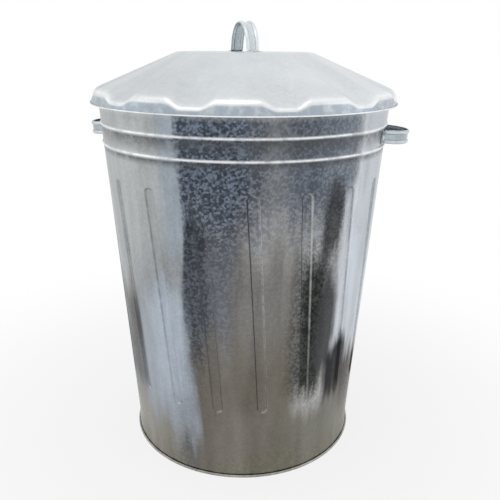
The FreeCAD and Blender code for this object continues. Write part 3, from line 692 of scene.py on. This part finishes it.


# its shade colour is the painted shade in the creases at the ridge roots
side_zinc = zinc("side strap zinc", (0.40, 0.45, 0.48), 0.25, relief=0.03, Spangle=0.06, Streaks=0.14,
                 Clouds=0.12, Grime=(0.09, 0.1, 0.11, 1))
rivet_zinc = zinc("rivet zinc", (0.62, 0.65, 0.66), 0.3, relief=0.05, Spangle=0.06, Streaks=0.0)
SIDE_HEIGHT = 542.5
SIDE_OFFSET = 50.0
SIDE_ARCH = 34.0
side_tilt = math.asin(SIDE_OFFSET / body_radius(SIDE_HEIGHT))
side_sag = body_radius(SIDE_HEIGHT) * (1 - math.cos(side_tilt))
for side, name in ((1, "right"), (-1, "left")):
    place = cone_place(90 * side, SIDE_HEIGHT)
    bm = strap(strap_line(SIDE_OFFSET, SEAT_GAP - side_sag, side_tilt, SIDE_ARCH), place)
    facing_out(bm)
    settled(name + "_strap", bm, "bin", name + "_handle", side_zinc, STRAP_SHEET, 1.0, STRAP_EDGE)
    seats = []
    for hand in (-1, 1):
        lean = Matrix.Rotation(hand * side_tilt, 4, "Y")
        seats.append(place @ Matrix.Translation(Vector((hand * SIDE_OFFSET, 0, -side_sag)) * MM) @ lean)
    settled(name + "_rivet_pair", rivets(seats, WALL_SHEET), "bin", name + "_handle_rivets", rivet_zinc)


# Lid: one deep pressing with twelve broad flutes between raised ridges, a rounded shoulder, a short
# skirt over the rim and a small outward hem. The flute floors rest on the wired rim.

LID_SHEET = 0.7
LID_TOP = 665.8
DISC_RADIUS = 108.0
LID_SLOPE = 0.4246
RIDGE_ROUNDINGS = (34, 14)
FLOOR_START = 112.0
FLOOR_TOP = 662.5
FLOOR_FALL = 0.4851
FLOOR_ROUNDINGS = (28, 9)
SKIRT_RADIUS = 245.1
SKIRT_FOOT = 589.75
SKIRT_DRAFT = 0.13
LIP_RADIUS = 0.75
FLUTES = 12
FLUTE_FIRST = 24.0
FLUTE_INNER = 98.0
FLUTE_OUTER = 245.0
INNER_HALF = 27.0
OUTER_HALF = 37.5
INNER_WALL = 17.0
OUTER_WALL = 26.5
LEAST_RIDGE = 0.6

# columns of the sheet from a flute's middle to the next ridge's middle, and rows down its section
FLOOR_MARKS = (0.0, 0.5, 0.85, 1.0)
WALL_MARKS = (0.08, 0.17, 0.27, 0.38, 0.5, 0.62, 0.73, 0.83, 0.92, 1.0)
RIDGE_MARKS = (0.3, 0.65)
HALF_COLUMNS = len(FLOOR_MARKS) + len(WALL_MARKS) + len(RIDGE_MARKS)
DISC_ROWS = 8
ROUNDING_STEPS = 9
SLOPE_ROWS = 20
SKIRT_ROWS = 3
SHOULDER_ROW = DISC_ROWS + ROUNDING_STEPS + SLOPE_ROWS
SKIRT_REFLECTION_ROW = SHOULDER_ROW + 8
HEM_HIGHLIGHT_ROWS = 8
KNUCKLE_HIGHLIGHT = 0.85
SKIRT_REFLECTION = 0.62
HEM_HIGHLIGHT = 0.75


def shoulder_line(start, fall, roundings):
    """Lid outline in mm: disc, a slope that falls from a start point, shoulder and skirt."""
    level = start.y - fall * (SKIRT_RADIUS - start.x)
    top = (level - fall * SKIRT_DRAFT * SKIRT_FOOT) / (1 - fall * SKIRT_DRAFT)
    edge = start.x + (start.y - LID_TOP) / fall
    shoulder = (SKIRT_RADIUS - SKIRT_DRAFT * (top - SKIRT_FOOT), top)
    corners = [(0, LID_TOP), (edge, LID_TOP), shoulder, (SKIRT_RADIUS, SKIRT_FOOT)]
    return rounded_line(corners, roundings, ROUNDING_STEPS)


def with_rows(line):
    """The outline with rows added on its disc, on its slope and on its skirt."""
    slope_start = ROUNDING_STEPS + 1
    slope_end = slope_start + 1
    skirt_start = slope_end + ROUNDING_STEPS
    rows = [line[0].lerp(line[1], step / DISC_ROWS) for step in range(DISC_ROWS)]
    rows += line[1:slope_end]
    rows += [line[slope_start].lerp(line[slope_end], step / SLOPE_ROWS) for step in range(1, SLOPE_ROWS)]
    rows += line[slope_end:skirt_start + 1]
    rows += [line[skirt_start].lerp(line[-1], step / SKIRT_ROWS) for step in range(1, SKIRT_ROWS + 1)]
    return rows


hem_line = arc_line((SKIRT_RADIUS + LIP_RADIUS, SKIRT_FOOT), LIP_RADIUS, 200, 400, 10)
ridge_line = shoulder_line(Vector((DISC_RADIUS, LID_TOP)), LID_SLOPE, RIDGE_ROUNDINGS)
ridge_outline = with_rows(ridge_line) + hem_line
floor_line = shoulder_line(Vector((FLOOR_START, FLOOR_TOP)), FLOOR_FALL, FLOOR_ROUNDINGS)
floor_outline = with_rows(floor_line) + hem_line


def flute_widths(radius):
    """Half width in mm of a flute and the run of its walls at a radius; it narrows inwards."""
    share = min(max((radius - FLUTE_INNER) / (FLUTE_OUTER - FLUTE_INNER), 0.0), 1.0)
    return INNER_HALF + (OUTER_HALF - INNER_HALF) * share, INNER_WALL + (OUTER_WALL - INNER_WALL) * share


def press_flutes(bm):
    """Draws the columns of the turned lid together at the flute walls and presses the flutes."""
    wear_and_highlight = bm.verts.layers.float.new("wear_and_highlight")
    painted_shade = bm.verts.layers.float.new("painted_shade")
    columns = 2 * HALF_COLUMNS
    pitch = 180.0 / FLUTES
    for vert in bm.verts:
        radius = math.hypot(vert.co.x, vert.co.y) / MM
        height = vert.co.z / MM
        if radius < 0.01:
            continue
        row = min(range(len(ridge_outline)),
                  key=lambda index: (ridge_outline[index] - Vector((radius, height))).length)
        column = round(math.degrees(math.atan2(vert.co.y, vert.co.x)) * columns * FLUTES / 360)
        flute, place = divmod(column, columns)
        place -= HALF_COLUMNS
        near = max(radius, FLUTE_INNER)
        half, run = flute_widths(near)
        reach = near * math.sin(math.radians(pitch))
        half = min(half, reach - LEAST_RIDGE)
        marks = [mark * (half - run) for mark in FLOOR_MARKS]
        marks += [half - run + run * mark for mark in WALL_MARKS]
        marks += [half + (reach - half) * mark for mark in RIDGE_MARKS] + [reach]
        across = marks[abs(place)]
        offset = math.copysign(math.degrees(math.asin(across / near)), place)
        share = 0.5 - 0.5 * math.cos(math.pi * min(max((across - half + run) / run, 0.0), 1.0))
        spot = floor_outline[row].lerp(ridge_outline[row], share)
        turn = math.radians(FLUTE_FIRST + flute * 2 * pitch + offset)
        # painted highlight along the shoulder (knuckle), partly rubbed bright
        shoulder = (row - SHOULDER_ROW) / ROUNDING_STEPS
        highlight_and_wear_share = max(0.0, 1 - abs(shoulder - 0.4) / 0.7) ** 1.5 if shoulder >= 0 else 0.0
        vert[wear_and_highlight] = KNUCKLE_HIGHLIGHT * highlight_and_wear_share
        # painted reflection: the skirt below the shoulder is painted darker and bluish
        vert[painted_shade] = SKIRT_REFLECTION if row >= SKIRT_REFLECTION_ROW else 0.0
        # painted highlight along the hem lip
        if row >= len(ridge_outline) - HEM_HIGHLIGHT_ROWS:
            vert[wear_and_highlight] = HEM_HIGHLIGHT
            vert[painted_shade] = 0.0
        vert.co = Vector((spot.x * math.sin(turn), -spot.x * math.cos(turn), spot.y)) * MM


# its shade colour is the bluish painted reflection on the skirt
lid_zinc = zinc("lid zinc", (0.64, 0.67, 0.67), 0.36, relief=0.03, Spangle=0.03, Streaks=0.0, Clouds=0.06,
                Grime=(0.19, 0.26, 0.35, 1))
tree = lid_zinc.node_tree
spot = place_node(tree, "TexCoord").outputs["Object"]
across = place_node(tree, "SeparateXYZ", {0: spot}).outputs[0]
across = maths(tree, "ADD", across, ramped(tree, noise(tree, 6.0, 3.0), 0.3, 0.7, -0.07, 0.07, smooth=False))
# painted light: the lid's colour grows paler towards its +X side
lit_side_share = ramped(tree, across, -0.2, 0.2)
toned = blended(tree, "MIX", lit_side_share, (0.585, 0.62, 0.635, 1), (0.72, 0.755, 0.775, 1))
tree.links.new(toned, tree.nodes["skin"].inputs["Colour"])
bm = spun(ridge_outline, 2 * HALF_COLUMNS * FLUTES)
press_flutes(bm)
facing_out(bm, Vector((0, 0, 0.5)))
settled("fluted_lid", bm, "lid", "lid_pressing", lid_zinc, LID_SHEET)


# Lid handle: the same strap bent to a higher arch and riveted to the flat top of the lid.

LID_HANDLE_ANGLE = 29.0
LID_OFFSET = 56.0
LID_ARCH = 43.7
# its shade colour is the painted shade in the creases at the ridge roots
lid_strap_zinc = zinc("lid strap zinc", (0.64, 0.7, 0.73), 0.27, relief=0.03, Spangle=0.04, Streaks=0.12,
                      Clouds=0.1, Grime=(0.25, 0.28, 0.3, 1))
turn = math.radians(LID_HANDLE_ANGLE - 90)
place = Matrix.Translation((0, 0, LID_TOP * MM)) @ Matrix.Rotation(turn, 4, "Z")
bm = strap(strap_line(LID_OFFSET, SEAT_GAP, 0.0, LID_ARCH), place)
facing_out(bm, Vector((0, 0, 0.68)))
settled("lid_strap", bm, "lid", "lid_handle", lid_strap_zinc, STRAP_SHEET, 1.0, STRAP_EDGE)
seats = [place @ Matrix.Translation((hand * LID_OFFSET * MM, 0, 0)) for hand in (-1, 1)]
settled("lid_rivet_pair", rivets(seats, LID_SHEET), "lid", "lid_handle_rivets", rivet_zinc)


# Studio: a pale floor that keeps the shadow near the bin, soft lamps and a white surround.

FLOOR_SHADOW_SHARE = 0.22
SHADOW_NEAR = 0.3
SHADOW_FAR = 0.95
SURROUND_LIGHT = 0.7


def showing(tree):
    """1 for the rays that carry the white surround: seen straight, in metal or through glass."""
    path = place_node(tree, "LightPath").outputs
    seen = maths(tree, "MAXIMUM", path["Is Camera Ray"], path["Is Glossy Ray"])
    return maths(tree, "MAXIMUM", seen, path["Is Transmission Ray"])


paint = bpy.data.materials.new("floor paint")
paint.use_nodes = True
tree = paint.node_tree
tree.nodes.clear()
matt = place_node(tree, "BsdfDiffuse", {"Color": (0.86, 0.86, 0.86, 1)})
white = place_node(tree, "Emission", {"Strength": 1.0})
spot = place_node(tree, "TexCoord").outputs["Object"]
away = place_node(tree, "VectorMath", {0: spot}, operation="LENGTH").outputs["Value"]
share = ramped(tree, away, SHADOW_NEAR, SHADOW_FAR, 1 - FLOOR_SHADOW_SHARE, 1.0)
mix = place_node(tree, "MixShader", {0: maths(tree, "MULTIPLY", showing(tree), share)})
tree.links.new(matt.outputs[0], mix.inputs[1])
tree.links.new(white.outputs[0], mix.inputs[2])
place_node(tree, "OutputMaterial", {"Surface": mix.outputs[0]})

bpy.ops.mesh.primitive_plane_add(size=40, location=(0, 0, 0))
floor = bpy.context.object
floor.name = "studio_floor"
floor.data.materials.append(paint)

world = bpy.data.worlds.new("studio")
bpy.context.scene.world = world
world.use_nodes = True
tree = world.node_tree
sky = tree.nodes["Background"]
sky.inputs["Color"].default_value = (1, 1, 1, 1)
strength = ramped(tree, showing(tree), 0.0, 1.0, SURROUND_LIGHT, 1.0, smooth=False)
tree.links.new(strength, sky.inputs["Strength"])


def lamp(name, place, aim, size, radiance):
    """Soft box: an area lamp whose watts follow from its size and how bright it looks."""
    light = bpy.data.lights.new(name, "AREA")
    light.shape = "RECTANGLE"
    light.size, light.size_y = size
    light.energy = radiance * math.pi * size[0] * size[1]
    piece = bpy.data.objects.new(name, light)
    bpy.context.scene.collection.objects.link(piece)
    piece.location = place
    piece.rotation_euler = (Vector(aim) - Vector(place)).to_track_quat("-Z", "Y").to_euler()


lamp("left box", (-2.4, -0.6, 1.2), (0, 0, 0.4), (1.6, 2.0), 0.35)
lamp("right box", (2.4, 0.2, 1.1), (0, 0, 0.4), (1.4, 1.8), 0.3)
lamp("top box", (-0.2, -0.9, 2.6), (0, 0, 0.5), (2.0, 1.6), 0.5)

CAMERA_PLACE = (0.1949, -1.0024, 0.6747)
CAMERA_HEADING = (-0.18, 0.9837)
CAMERA_PITCH = 0.3262
CAMERA_ROLL = 0.0082

camera_data = bpy.data.cameras.new("camera")
camera_data.lens = 43.47
camera_data.sensor_width = 36
camera = bpy.data.objects.new("camera", camera_data)
bpy.context.scene.collection.objects.link(camera)
level = math.cos(CAMERA_PITCH)
forward = Vector((CAMERA_HEADING[0] * level, CAMERA_HEADING[1] * level, -math.sin(CAMERA_PITCH))).normalized()
right = forward.cross(Vector((0, 0, 1))).normalized()
upright = right.cross(forward)
side = right * math.cos(CAMERA_ROLL) + upright * math.sin(CAMERA_ROLL)
top = upright * math.cos(CAMERA_ROLL) - right * math.sin(CAMERA_ROLL)
aimed = Matrix((side, top, -forward)).transposed().to_4x4()
camera.matrix_world = Matrix.Translation(CAMERA_PLACE) @ aimed
bpy.context.scene.camera = camera
bpy.context.scene.view_settings.view_transform = "Standard"
